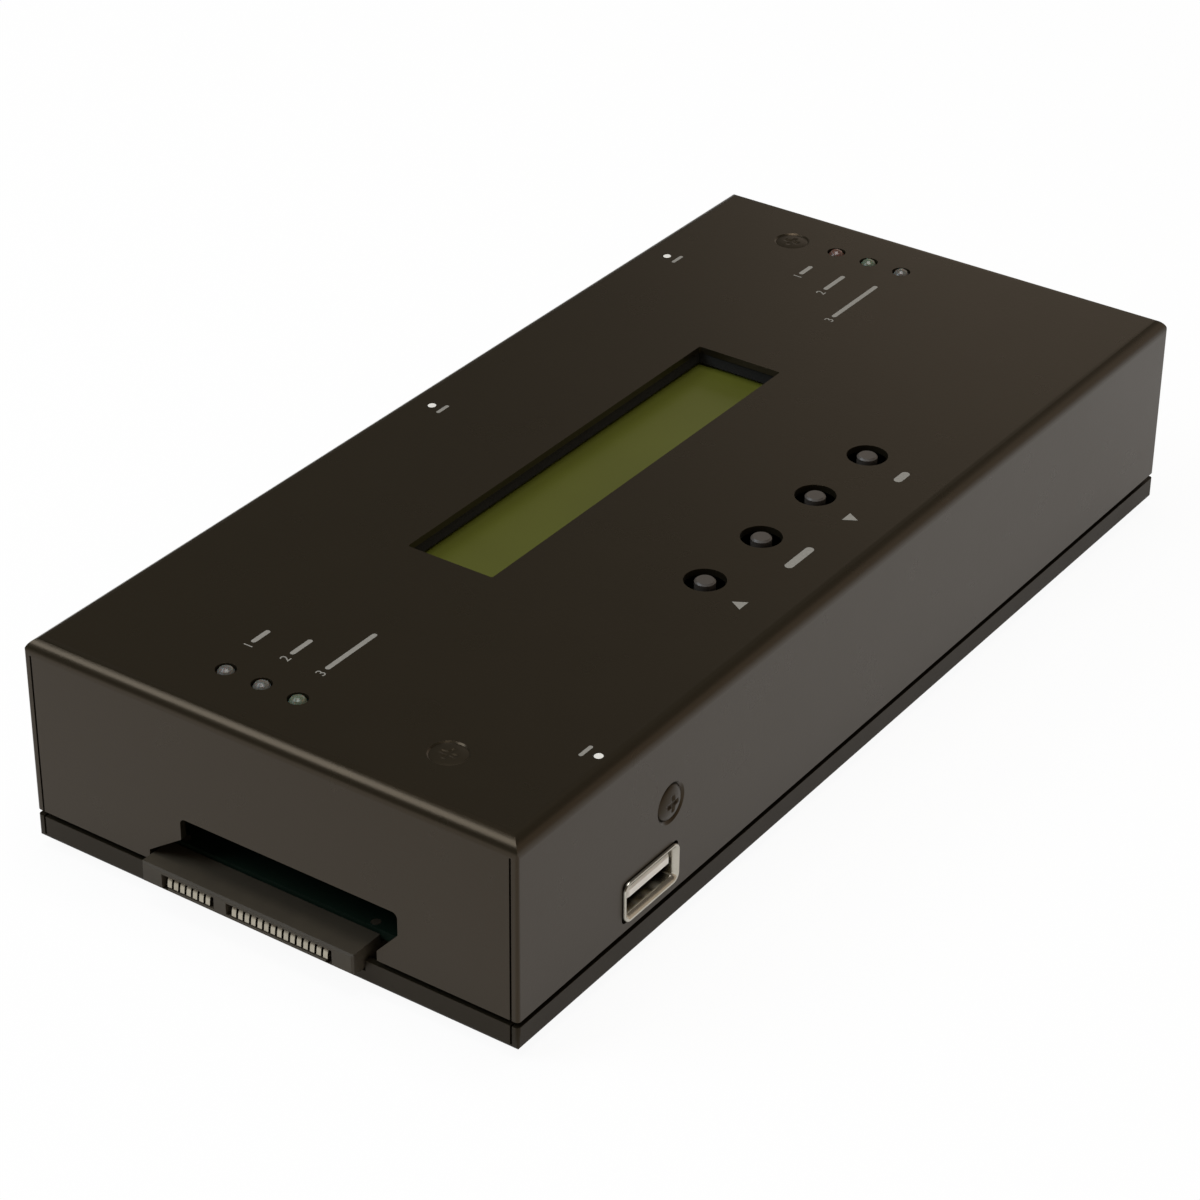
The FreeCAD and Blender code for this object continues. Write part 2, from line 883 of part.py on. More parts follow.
def mouth_slot(middle, width, key_side):
    """Blade slot open at the front, with an L-shaped key notch at one end."""
    y0, y1 = middle - width / 2, middle + width / 2
    slot = block(-sata_front - 1, -sata_front + mouth_depth, y0, y1, mouth_low, mouth_low + mouth_height)
    end = y1 if key_side > 0 else y0 + key_notch_width
    notch = block(
        -sata_front - 1,
        -sata_front + mouth_depth,
        end - key_notch_width,
        end,
        mouth_low - key_notch_height,
        mouth_low + 1,
    )
    return slot.fuse(notch)


def make_sata_housing():
    """Moulded body: two keyed mouths, bevelled front, rear shelf and pegs."""
    low = tray_bottom + sata_rise
    back = -sata_front + sata_depth
    y0, y1 = sata_y - sata_width / 2, sata_y + sata_width / 2
    body = block(-sata_front, back, y0, y1, low, low + sata_height)
    front = [edge for edge in body.Edges if abs(edge.CenterOfMass.x + sata_front) < 1e-6]
    body = body.makeChamfer(sata_corner / 2, front)
    shelf_top = main_bottom - contact_thickness
    shelf = block(back, back + sata_shelf, y0, y1, low, shelf_top - sata_shelf_drop)
    pieces = [body, shelf]
    for x, y in peg_places():
        pieces.append(disc(x, y, sata_peg_radius, low, main_top))
    housing = joined(pieces)
    housing = housing.cut([mouth_slot(data_middle, data_slot, 1), mouth_slot(power_middle, power_slot, -1)])
    return housing.cut([contact_channel(y) for y in contact_rows()])


def contact_rows():
    """Y of each contact: seven for data, then fifteen for power."""
    rows = []
    for middle, count in ((data_middle, data_contacts), (power_middle, power_contacts)):
        rows += [middle + (i - (count - 1) / 2) * contact_pitch for i in range(count)]
    return rows


def contact_channel(y):
    """Passage for one contact: level through the rear wall, then upwards behind it."""
    half = contact_width / 2
    back = -sata_front + sata_depth
    inside = -sata_front + mouth_depth - 1
    level = block(inside, back, y - half, y + half, mouth_low, mouth_low + contact_thickness)
    rise = block(back, back + contact_rise, y - half, y + half, mouth_low, main_bottom)
    return level.fuse(rise)


def make_contact(y):
    """Sprung contact: curled tip, hump, flat beam, rise and tail under the board."""
    t = contact_thickness
    tip = -sata_front + contact_tip_setback
    crown = tip + 2 * t
    foot = crown + contact_crown + contact_slope
    back = -sata_front + sata_depth
    corner = back + contact_rise - t
    tail_low = main_bottom - t
    tail_end = back + contact_rise + contact_tail
    hump = mouth_low + contact_hump
    under = [
        (tip + t, hump - contact_tip_drop),
        (crown, hump),
        (crown + contact_crown, hump),
        (foot, mouth_low),
        (corner, mouth_low),
        (corner + t, tail_low),
        (tail_end, tail_low),
    ]
    over = [
        (tail_end, main_bottom),
        (corner, main_bottom),
        (corner - t, mouth_low + t),
        (foot, mouth_low + t),
        (crown + contact_crown, hump + t),
        (crown - t, hump + t),
        (tip, hump - contact_tip_drop),
    ]
    half = contact_width / 2
    points = [Vector(x, y - half, z) for x, z in under + over]
    return extruded(points, Vector(0, contact_width, 0))


# ---- USB receptacles (front wall, near the source end) ----
def section(width, height, corner, y):
    """Rectangle with cut corners about the port's axis, in the plane at y."""
    w, h = width / 2, height / 2
    quarter = [(w, h - corner), (w - corner, h)]
    outline = quarter + [(-x, z) for x, z in reversed(quarter)]
    outline += [(-x, -z) for x, z in outline]
    points = [Vector(usb_x + x, y, usb_z + z) for x, z in outline]
    return Part.makePolygon(points + [points[0]])


def flared_tube(shrink, y0, y1, y2):
    """Solid bar of the shell's section, flared between y0 and y1, straight to y2."""
    mouth = section(usb_flare_width - 2 * shrink, usb_flare_height - 2 * shrink, usb_corner, y0)
    neck = section(usb_body_width - 2 * shrink, usb_body_height - 2 * shrink, usb_corner / 2, y1)
    flare = Part.makeLoft([mouth, neck], True, True)
    straight = Part.Face(neck).extrude(Vector(0, y2 - y1, 0))
    return flare.fuse(straight)


def make_usb_shell():
    """Folded steel shell with a flared mouth, a closed back and two legs."""
    y0, y1 = usb_front, usb_front + usb_flare_depth
    y2 = usb_front + usb_length
    outer = flared_tube(0, y0, y1, y2)
    inner = flared_tube(usb_shell, y0, y1, y2 - usb_shell)
    shell = outer.cut(inner)
    legs = []
    for side in (-1, 1):
        edge = usb_x + side * usb_body_width / 2
        x0, x1 = sorted((edge, edge - side * usb_shell))
        leg_y = y2 - usb_length / 3
        legs.append(
            block(x0, x1, leg_y, leg_y + usb_leg_width, main_bottom - usb_leg_length + board_thickness, usb_z)
        )
    return joined([shell] + legs)


def make_usb_tongue():
    """Moulded insert: the blade of the port on a root block at the back."""
    back = usb_front + usb_length - usb_shell
    root_front = back - tongue_root
    half = usb_body_width / 2 - usb_shell
    half_high = usb_body_height / 2 - usb_shell
    root = block(usb_x - half, usb_x + half, root_front, back, usb_z - half_high, usb_z + half_high)
    root = root.makeChamfer(usb_corner / 2, straight_edges(root, Vector(0, 1, 0)))
    z = usb_z + tongue_above_axis
    blade = block(
        usb_x - tongue_width / 2,
        usb_x + tongue_width / 2,
        usb_front + tongue_setback,
        root_front,
        z - tongue_thickness / 2,
        z + tongue_thickness / 2,
    )
    tip = [edge for edge in blade.Edges if abs(edge.CenterOfMass.y - usb_front - tongue_setback) < 1e-6]
    blade = blade.makeChamfer(0.3, tip)
    return joined([root, blade])


def make_usb_contacts():
    """Four strips under the blade."""
    top = usb_z + tongue_above_axis - tongue_thickness / 2
    strips = []
    for i in range(usb_contact_count):
        x = usb_x + (i - (usb_contact_count - 1) / 2) * usb_contact_pitch
        strips.append(
            block(
                x - usb_contact_width / 2,
                x + usb_contact_width / 2,
                usb_front + tongue_setback + 0.8,
                usb_front + usb_length - usb_shell - tongue_root,
                top - contact_thickness,
                top,
            )
        )
    return strips


def leg_slots():
    """Slots in the main board for the source shell's legs."""
    slots = []
    leg_y = usb_front + usb_length - usb_length / 3
    play = thread_clearance
    for side in (-1, 1):
        edge = usb_x + side * usb_body_width / 2
        x0, x1 = sorted((edge, edge - side * usb_shell))
        slots.append(
            block(x0 - play, x1 + play, leg_y - play, leg_y + usb_leg_width + play, main_bottom - 1, main_top + 1)
        )
    return slots


# ---- Power jack (rear wall) ----
def make_jack_body():
    """Moulded jack: a full front flange, a narrower body and a round socket."""
    front = half_width
    back = front - jack_length
    half = jack_width / 2
    flange = block(jack_x - half, jack_x + half, front - jack_flange, front, main_top, main_top + jack_height)
    body = block(
        jack_x - half + jack_waist,
        jack_x + half - jack_waist,
        back,
        front - jack_flange,
        main_top,
        main_top + jack_height - jack_waist,
    )
    socket = Part.makeCylinder(
        jack_bore_radius, jack_bore_depth, Vector(jack_x, front, jack_z), Vector(0, -1, 0)
    )
    jack = joined([flange, body]).cut(socket)
    spring = block(
        jack_x - jack_spring_width / 2,
        jack_x + jack_spring_width / 2,
        front - jack_bore_depth,
        front - jack_flange,
        jack_z - jack_bore_radius - jack_spring_thickness,
        jack_z,
    )
    return jack.cut(spring)


def make_jack_pin():
    """Centre pin with a tapered end."""
    taper = jack_pin_radius / 2
    length = jack_bore_depth - jack_pin_setback - taper
    start = Vector(jack_x, half_width - jack_bore_depth, jack_z)
    y = Vector(0, 1, 0)
    pin = Part.makeCylinder(jack_pin_radius, length, start, y)
    return pin.fuse(Part.makeCone(jack_pin_radius, taper, taper, start + Vector(0, length, 0), y))


def make_jack_spring():
    """Leaf contact along the bottom of the socket."""
    low = jack_z - jack_bore_radius - jack_spring_thickness
    front = half_width - jack_flange
    back = half_width - jack_bore_depth
    rise = 2 * jack_spring_thickness
    line = [
        (back, low),
        (back + 2, low),
        ((back + front) / 2, low + rise),
        (front, low),
        (front, low + jack_spring_thickness),
        ((back + front) / 2, low + rise + jack_spring_thickness),
        (back + 2, low + jack_spring_thickness),
        (back, low + jack_spring_thickness),
    ]
    points = [Vector(jack_x - jack_spring_width / 2, y, z) for y, z in line]
    return extruded(points, Vector(jack_spring_width, 0, 0))


# ---- Power switch (rear wall) ----
rocker_height = switch_height - 2 * switch_wall - 2 * rocker_play
rocker_pivot = Vector(switch_x, half_width - rocker_pivot_depth, switch_z)


def make_switch_housing():
    """Moulded box open to the rear, with bearing holes for the rocker's pins."""
    x0, x1 = switch_x - switch_width / 2, switch_x + switch_width / 2
    z0, z1 = main_top, main_top + switch_height
    back = half_width - switch_length
    body = block(x0, x1, back, half_width, z0, z1)
    well_half = switch_height / 2 - switch_wall
    well = block(
        x0 + switch_wall,
        x1 - switch_wall,
        back + switch_wall + 2,
        half_width + 1,
        switch_z - well_half,
        switch_z + well_half,
    )
    bearing = Part.makeCylinder(
        rocker_pin_radius + thread_clearance,
        switch_height - switch_wall,
        rocker_pivot - Vector(0, 0, (switch_height - switch_wall) / 2),
    )
    return body.cut([well, bearing])


def make_rocker():
    """Rocker with a shallow V face, on two pins; at rest its left half is pressed in."""
    tilt = math.radians(rocker_tilt)
    tip = rocker_tip_above_pivot
    reach = switch_width / 2 - switch_wall - rocker_play
    half = (reach - tip * math.sin(tilt)) / math.cos(tilt)
    valley = tip - half * math.tan(tilt)
    root = rocker_root_width / 2
    outline = [(-half, tip), (0, valley), (half, tip), (half, 0), (root, -rocker_root), (-root, -rocker_root), (-half, 0)]
    low = rocker_pivot.z - rocker_height / 2
    points = [Vector(rocker_pivot.x + x, rocker_pivot.y + y, low) for x, y in outline]
    body = extruded(points, Vector(0, 0, rocker_height))
    pin_length = switch_height - 2 * switch_wall + 0.9 * switch_wall
    pin = Part.makeCylinder(rocker_pin_radius, pin_length, rocker_pivot - Vector(0, 0, pin_length / 2))
    rocker = body.fuse(pin)
    rocker.rotate(rocker_pivot, Vector(0, 0, 1), rocker_tilt)
    return rocker


def make_terminals():
    """Flat terminals from the switch down through the main board."""
    y = half_width - switch_length - terminal_thickness
    blades = []
    for i in (-1, 0, 1):
        x = switch_x + i * terminal_spacing - terminal_width / 2
        blades.append(
            block(x, x + terminal_width, y, y + terminal_thickness, main_top, main_top + switch_height / 2)
        )
    return blades


# ---- Parts on the main board ----
def chip(x, y, length, width, height):
    """Moulded chip body with bevelled top edges on a thin skirt of leads."""
    body = plate(x, y, length, width, main_top + chip_lead_thickness, main_top + height)
    top = [edge for edge in body.Edges if abs(edge.CenterOfMass.z - main_top - height) < 1e-6]
    body = body.makeChamfer(0.3, top)
    grow = 2 * chip_lead_reach
    skirt = plate(x, y, length + grow, width + grow, main_top, main_top + chip_lead_thickness)
    return joined([skirt, body])


def make_inductors():
    """Shielded power inductors: a square base with a round core."""
    x, y, length, width, height = inductor
    coils = []
    for i in range(inductor_count):
        middle = x + i * inductor_pitch
        base = plate(middle, y, length, width, main_top, main_top + height / 3)
        core = disc(middle, y, length / 2 - 0.3, main_top, main_top + height)
        coils.append(joined([base, core]))
    return coils


def make_capacitors():
    """Electrolytic cans on square feet."""
    x, y, radius, height = capacitor
    foot = 0.2 * height
    cans = []
    for i in range(capacitor_count):
        middle = x + i * capacitor_pitch
        base = plate(middle, y, 2 * radius, 2 * radius, main_top, main_top + foot)
        cans.append(joined([base, disc(middle, y, radius, main_top, main_top + height)]))
    return cans


def make_buzzer():
    """Round buzzer with a sound port in its top."""
    x, y, radius, height = buzzer
    body = disc(x, y, radius, main_top, main_top + height)
    return body.cut(disc(x, y, buzzer_port_radius, main_top + height - 1.5, main_top + height + 1))


def make_regulators():
    """Voltage regulators with their metal tab side by side."""
    x, y, length, width, height = regulator
    chips = []
    for i in range(regulator_count):
        middle = x + i * regulator_pitch
        body = plate(middle, y, length, width, main_top, main_top + height)
        tab = plate(middle, y + width / 2 + 0.6, 0.8 * length, 1.2, main_top, main_top + 0.5)
        chips.append(joined([body, tab]))
    return chips


# ---- Write every sub-part ----
save("top_cover", make_top_cover())
save("base_tray", make_base_tray())
save("rubber_feet", *make_feet())
save("cover_side_screws", *make_side_screws())
save("tab_nuts", *make_tab_nuts())
save("cover_top_screws", *make_top_screws())
save("cover_pillars", *make_pillars())
save("board_standoffs", *make_standoffs())
save("main_board", make_main_board().cut(leg_slots() + [turned(slot) for slot in leg_slots()]))
save("board_spacers", *make_spacers())
save("panel_board", make_panel_board())
save("panel_board_screws", *make_panel_screws())
save("link_socket", make_link_socket())
save("link_pins", *make_link_pins())

save("display_gasket", make_gasket())
save("lcd_frame", make_lcd_frame())
save("lcd_glass", plate(window_x, window_y, glass_length, glass_width, backlight_top, glass_top))
save("lcd_backlight", plate(window_x, window_y, glass_length, glass_width, lcd_top, backlight_top))
save("lcd_board", make_lcd_board())
save("lcd_spacers", *make_lcd_spacers())
save("lcd_screws", *make_lcd_screws())
save("header_insulators", make_lcd_header(), make_link_header())

save("key_bodies", *make_key_bodies())
save("key_frames", *make_key_frames())
for number, (x, y) in enumerate(key_places, 1):
    save(f"key_plunger_{number}", make_plunger(x, y))

for end, row in lamp_rows.items():
    for name, (x, y) in zip(("power", "busy", "error"), row):
        save(f"{end}_{name}_lamp", make_lamp(x, y))
save("lamp_spacers", *make_lamp_spacers())
save("lamp_leads", *make_lamp_leads())

housing = make_sata_housing()
contacts = [make_contact(y) for y in contact_rows()]
save("source_sata_housing", housing)
save("source_sata_contacts", *contacts)
save("target_sata_housing", turned(housing))
save("target_sata_contacts", *[turned(contact) for contact in contacts])

usb_pieces = {"shell": [make_usb_shell()], "tongue": [make_usb_tongue()], "contacts": make_usb_contacts()}
for name, solids in usb_pieces.items():
    save(f"source_usb_{name}", *solids)
    save(f"target_usb_{name}", *[turned(solid) for solid in solids])

save("dc_jack_body", make_jack_body())
save("dc_jack_pin", make_jack_pin())
save("dc_jack_spring", make_jack_spring())
save("power_switch_housing", make_switch_housing())
save("power_rocker", make_rocker())
save("power_switch_terminals", *make_terminals())

save("logic_chips", chip(*controller), chip(*memory_chip))
source_bridge = chip(*bridge_chip)
save("bridge_chips", source_bridge, turned(source_bridge))
save("power_inductors", *make_inductors())
save("filter_capacitors", *make_capacitors())
save("clock_crystal", plate(*crystal[:4], main_top, main_top + crystal[4], 1.0))
save("buzzer", make_buzzer())
save("voltage_regulators", *make_regulators())
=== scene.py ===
"""Looks of a stand-alone drive duplicator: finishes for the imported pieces, softened sheet
edges, the printed marks, USB shells, SATA contacts, screw heads, the studio and the camera.

Metres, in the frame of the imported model: +X runs from the source end to the target end,
-Y is the front long side, +Z is up, and the feet stand on z = 0.
"""
import json
import math

import bmesh
import bpy
import numpy as np
from mathutils import Matrix, Vector


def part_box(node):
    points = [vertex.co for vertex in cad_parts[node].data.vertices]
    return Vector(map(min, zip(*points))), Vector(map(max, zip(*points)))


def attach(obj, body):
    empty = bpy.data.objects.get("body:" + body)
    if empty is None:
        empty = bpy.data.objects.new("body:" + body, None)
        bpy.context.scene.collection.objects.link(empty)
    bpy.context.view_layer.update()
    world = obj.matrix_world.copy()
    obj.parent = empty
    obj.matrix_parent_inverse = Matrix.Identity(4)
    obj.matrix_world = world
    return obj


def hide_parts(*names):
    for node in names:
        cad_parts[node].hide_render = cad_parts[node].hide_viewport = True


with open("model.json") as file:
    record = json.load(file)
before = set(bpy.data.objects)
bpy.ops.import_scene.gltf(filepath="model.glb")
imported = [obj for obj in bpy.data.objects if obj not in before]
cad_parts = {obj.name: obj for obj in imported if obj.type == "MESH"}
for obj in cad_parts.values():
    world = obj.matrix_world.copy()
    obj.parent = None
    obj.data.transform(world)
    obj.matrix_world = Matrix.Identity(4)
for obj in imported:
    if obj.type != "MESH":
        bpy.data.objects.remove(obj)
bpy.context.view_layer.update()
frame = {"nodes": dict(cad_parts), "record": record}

MM = 0.001
BODY = "case"


# ---- Small tools ----
def linear(code):
    """Linear RGBA of an sRGB hex colour."""
    srgb = np.array([int(code[i : i + 2], 16) for i in (1, 3, 5)]) / 255
    rgb = np.where(srgb <= 0.04045, srgb / 12.92, ((srgb + 0.055) / 1.055) ** 2.4)
    return (*rgb.tolist(), 1.0)


def add(tree, kind, inputs=None, **settings):
    """One shader node with its settings; an input is a value, or a socket to link."""
    made = tree.nodes.new("ShaderNode" + kind)
    for name, value in settings.items():
        setattr(made, name, value)
    for name, value in (inputs or {}).items():
        if isinstance(value, bpy.types.NodeSocket):
            tree.links.new(value, made.inputs[name])
        else:
            made.inputs[name].default_value = value
    return made


def surface(name, **sockets):
    """New material: its tree, its one shader, and the object's coordinates."""
    material = bpy.data.materials.new(name)
    material.use_nodes = True
    tree = material.node_tree
    tree.nodes.clear()
    shader = add(tree, "BsdfPrincipled")
    for socket, value in sockets.items():
        shader.inputs[socket.replace("_", " ")].default_value = value
    add(tree, "OutputMaterial", {"Surface": shader.outputs[0]})
    place = add(tree, "TexCoord").outputs["Object"]
    return material, tree, shader, place


def grain(tree, shader, place, size, depth, detail=2.0):
    """Bump of a given grain size and depth in metres; returns the grain's height."""
    noise = {"Vector": place, "Scale": 1 / size, "Detail": detail}
    height = add(tree, "TexNoise", noise).outputs[0]
    bump = add(tree, "Bump", {"Height": height, "Distance": depth, "Strength": 1.0})
    tree.links.new(bump.outputs[0], shader.inputs["Normal"])
    return height


def vary(tree, shader, place, size, low, high, socket="Base Color"):
    """A slow change of colour or roughness between two values over a given size."""
    cloud = add(tree, "TexNoise", {"Vector": place, "Scale": 1 / size, "Detail": 3.0}).outputs[0]
    if socket == "Base Color":
        mix = add(tree, "Mix", {0: cloud, 6: linear(low), 7: linear(high)}, data_type="RGBA")
        result = mix.outputs[2]
    else:
        span = {"Value": cloud, "From Min": 0.3, "From Max": 0.7, "To Min": low, "To Max": high}
        result = add(tree, "MapRange", span).outputs[0]
    tree.links.new(result, shader.inputs[socket])
    return cloud


# ---- Finishes ----
def powder_coat(name, rough, gloss):
    """Folded steel, baked satin powder: warm black, with a fine orange peel about 0.4 mm wide."""
    material, tree, shader, place = surface(
        name, Specular_Tint=linear("#ffe0bc"), Specular_IOR_Level=gloss, Roughness=rough
    )
    vary(tree, shader, place, 30 * MM, "#1b1811", "#1d1a12")
    vary(tree, shader, place, 9 * MM, 0.97 * rough, 1.03 * rough, "Roughness")
    grain(tree, shader, place, 0.45 * MM, 0.006 * MM)
    return material


def rubber():
    """Moulded nitrile rubber: matt near-black with a dusty fine grain."""
    material, tree, shader, place = surface("moulded_black_rubber", Roughness=0.85)
    vary(tree, shader, place, 4 * MM, "#161616", "#222120")
    grain(tree, shader, place, 0.5 * MM, 0.02 * MM)
    return material


def black_zinc():
    """Black zinc-plated steel screw: dark grey metal with faint turned marks."""
    material, tree, shader, place = surface(
        "black_zinc_plated_steel", Metallic=0.7, Roughness=0.42
    )
    vary(tree, shader, place, 1.5 * MM, "#1d1b19", "#2b2825")
    grain(tree, shader, place, 0.25 * MM, 0.004 * MM)
    return material


def plated(name, low, high, rough, grain_size):
    """Bright or dull plating on sheet or turned metal, with slight blotches and drawing marks."""
    material, tree, shader, place = surface(name, Metallic=1.0, Roughness=rough)
    vary(tree, shader, place, 3 * MM, low, high)
    vary(tree, shader, place, 2 * MM, 0.8 * rough, 1.25 * rough, "Roughness")
    grain(tree, shader, place, grain_size, 0.004 * MM)
    return material


def moulded(name, low, high, rough, grain_size=0.3 * MM, depth=0.006 * MM, **sockets):
    """Injection-moulded plastic: even colour with a light spark-eroded grain."""
    material, tree, shader, place = surface(name, Roughness=rough, **sockets)
    vary(tree, shader, place, 5 * MM, low, high)
    grain(tree, shader, place, grain_size, depth)
    return material


def circuit_laminate():
    """Glass-epoxy board under dark green solder mask: the weave shows as a 0.5 mm check."""
    material, tree, shader, place = surface("solder_masked_laminate", Roughness=0.35)
    vary(tree, shader, place, 8 * MM, "#111d16", "#18291f")
    weave = add(tree, "TexChecker", {"Vector": place, "Scale": 1 / (0.5 * MM)}).outputs[1]
    bump = add(tree, "Bump", {"Height": weave, "Distance": 0.003 * MM})
    tree.links.new(bump.outputs[0], shader.inputs["Normal"])
    return material


def display_film():
    """Unlit yellow-green liquid-crystal film under its polariser: olive, faintly clouded."""
    material, tree, shader, place = surface("polarised_display_film", Roughness=0.32)
    vary(tree, shader, place, 26 * MM, "#464815", "#52561a")
    grain(tree, shader, place, 0.2 * MM, 0.0015 * MM)
    return material


def drawn_nickel(mouth):
    """Nickel-plated steel strip drawn into a shell: bright at its flared mouth, which is at
    y = +mouth or -mouth, and darker inside, where a painted shade stands for the shade in the
    port."""
    bright_depth, painted_shade_depth = 1.2 * MM, 2.4 * MM
    material, tree, shader, place = surface(
        "drawn_nickel_strip_with_painted_shade", Metallic=1.0, Roughness=0.26
    )
    noise = {"Vector": place, "Scale": 1 / (3 * MM), "Detail": 3.0}
    cloud = add(tree, "TexNoise", noise).outputs[0]
    colours = {0: cloud, 6: linear("#aeaa9f"), 7: linear("#c4c0b4")}
    lip = add(tree, "Mix", colours, data_type="RGBA")
    y = add(tree, "SeparateXYZ", {0: place}).outputs[1]
    side = add(tree, "Math", {0: y}, operation="ABSOLUTE").outputs[0]
    span = {"Value": side, "From Min": mouth - painted_shade_depth, "From Max": mouth - bright_depth}
    near = add(tree, "MapRange", span).outputs[0]
    # Painted shade: from 2.4 mm behind the mouth inwards the colour is a dark brown-grey, fading
    # to the plated colour by 1.2 mm, for the shade inside the port.
    colours = {0: near, 6: linear("#3a362d"), 7: lip.outputs[2]}
    both = add(tree, "Mix", colours, data_type="RGBA").outputs[2]
    tree.links.new(both, shader.inputs["Base Color"])
    grain(tree, shader, place, 0.25 * MM, 0.004 * MM)
    return material


def lamp_epoxy(name, low, high):
    """Diffused epoxy lamp: milky, slightly glossy, a little darker in its depth."""
    material, tree, shader, place = surface(
        name,
        Roughness=0.28,
        Transmission_Weight=0.25,
        Subsurface_Weight=0.2,
        Subsurface_Scale=0.8 * MM,
    )
    vary(tree, shader, place, 1.2 * MM, low, high)
    grain(tree, shader, place, 0.15 * MM, 0.002 * MM)
    return material


def screen_ink(name, low, high):
    """Screen-printed epoxy ink: dull, with the mesh's slight unevenness."""
    material, tree, shader, place = surface(name, Roughness=0.6)
    vary(tree, shader, place, 0.5 * MM, low, high)
    grain(tree, shader, place, 0.12 * MM, 0.003 * MM)
    return material


FINISH = {
    "powder_steel": powder_coat("black_powder_coated_steel", 0.28, 0.38),
    "foot_rubber": rubber(),
    "black_zinc_screw": black_zinc(),
    "zinc_steel": plated("zinc_plated_steel", "#9a9b98", "#b3b4b0", 0.38, 0.3 * MM),
    "nickel_brass": plated("nickel_plated_brass", "#a89f88", "#bdb59d", 0.3, 0.3 * MM),
    "nickel_shell": plated("nickel_plated_steel_strip", "#c3bfb4", "#d6d2c6", 0.24, 0.25 * MM),
    "tinned_lead": plated("tinned_copper_strip", "#b9bab8", "#cccdca", 0.34, 0.25 * MM),
    "gold_contact": plated("gold_flashed_contact", "#d0b26a", "#e0c684", 0.26, 0.15 * MM),
    "can_aluminium": plated("drawn_aluminium_can", "#b5b5b5", "#cbcbcb", 0.33, 0.3 * MM),
    "board_laminate": circuit_laminate(),
    "black_nylon": moulded("moulded_black_nylon", "#141414", "#1d1c1b", 0.5),
    "black_lcp": moulded(
        "moulded_black_liquid_crystal_polymer", "#39332a", "#463f33", 0.55, Specular_IOR_Level=0.25
    ),
    "white_nylon": moulded("moulded_white_nylon", "#f1efe9", "#f8f6f1", 0.45),
    "gasket_foam": moulded(
        "black_closed_cell_foam", "#0f0e0d", "#1a1917", 0.95, 0.6 * MM, 0.05 * MM
    ),
    "lcd_film": display_film(),
    "white_acrylic": moulded("moulded_light_guide_acrylic", "#dbe0bc", "#e8ecc9", 0.2),
    "key_plastic": moulded("moulded_dark_grey_abs", "#3a3530", "#46413c", 0.45, 0.25 * MM),
    "lamp_epoxy": lamp_epoxy("diffused_clear_epoxy", "#5c5953", "#6d6a64"),
    "lamp_epoxy_green": lamp_epoxy("diffused_green_epoxy", "#59624f", "#68715e"),
    "lamp_epoxy_red": lamp_epoxy("diffused_red_epoxy", "#5a4037", "#694b41"),
    "rocker_plastic": moulded("polished_black_nylon", "#101010", "#181818", 0.22),
    "chip_epoxy": moulded("moulded_black_epoxy", "#18181a", "#222224", 0.6, 0.2 * MM, 0.01 * MM),
    "ferrite": moulded("pressed_grey_ferrite", "#3c3d3f", "#4b4c4e", 0.65, 0.3 * MM, 0.02 * MM),
}

SLOT = {piece["node"]: piece["material_slot"] for piece in frame["record"]["subparts"]}
# Painted shade: the base tray gets a copy of the cover's powder coat with lower gloss and higher
# roughness, so its rim reads darker, for the shade it shows where it reflects the floor in the
# case's shadow.
TRAY_SHADED_COAT = powder_coat("shaded_copy_of_black_powder_coated_steel", 0.45, 0.2)
PAINTED_SCREW = powder_coat("painted_over_steel_screw", 0.36, 0.34)
SATA_PLATING = plated("palladium_nickel_plated_strip", "#9f9888", "#bab3a3", 0.3, 0.2 * MM)
for name, node in frame["nodes"].items():
    node.data.materials.clear()
    node.data.materials.append(TRAY_SHADED_COAT if name == "base_tray" else FINISH[SLOT[name]])


# ---- Sheet edges ----
def eased(name, radius):
    """Copy of a CAD piece, its triangles merged into faces and its sharp edges rounded."""
    source = frame["nodes"][name]
    copy = bpy.data.objects.new(name + "_eased", source.data.copy())
    bpy.context.scene.collection.objects.link(copy)
    work = bmesh.new()
    work.from_mesh(copy.data)
    bmesh.ops.remove_doubles(work, verts=work.verts, dist=0.002 * MM)
    bmesh.ops.dissolve_limit(
        work,
        angle_limit=math.radians(0.5),
        verts=work.verts,
        edges=work.edges,
        use_dissolve_boundaries=False,
    )
    for face in work.faces:
        face.smooth = True
    work.to_mesh(copy.data)
    work.free()
    bevel = copy.modifiers.new("edge", "BEVEL")
    bevel.width = radius
    bevel.segments = 2
    bevel.limit_method = "ANGLE"
    bevel.angle_limit = math.radians(32)
    flat = copy.modifiers.new("flat_faces", "WEIGHTED_NORMAL")
    flat.weight = 100
    flat.thresh = 0.01
    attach(copy, BODY)
    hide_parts(name)
    return copy


eased("top_cover", 0.12 * MM)
eased("base_tray", 0.12 * MM)
for end in ("source", "target"):
    eased(end + "_sata_housing", 0.08 * MM)


# ---- Prints ----
def prism(outline, low, high):
    """Vertices and faces of a flat prism over a closed outline of (x, y) points, turning left."""
    outline = np.asarray(outline, float)
    count = len(outline)
    rings = [np.column_stack([outline, np.full(count, level)]) for level in (low, high)]
    index = np.arange(count)
    after = np.roll(index, -1)
    walls = np.column_stack([index, after, after + count, index + count])
    faces = [index[::-1].tolist(), (index + count).tolist()] + walls.tolist()
    return np.vstack(rings), faces


def bar(x, y, length, width):
    """Outline of a bar whose ends are half circles, about (x, y)."""
    angle = np.linspace(-math.pi / 2, math.pi / 2, 9)
    cap = np.column_stack([np.cos(angle), np.sin(angle)]) * width / 2
    reach = np.array([(length - width) / 2, 0])
    return np.vstack([cap + reach, -cap - reach]) + (x, y)


def wedge(x, y, side, turn):
    """Outline of an even triangle of a given side about (x, y), turned in degrees."""
    angle = np.radians(turn + 90 + 120 * np.arange(3))
    return np.column_stack([np.cos(angle), np.sin(angle)]) * side / math.sqrt(3) + (x, y)


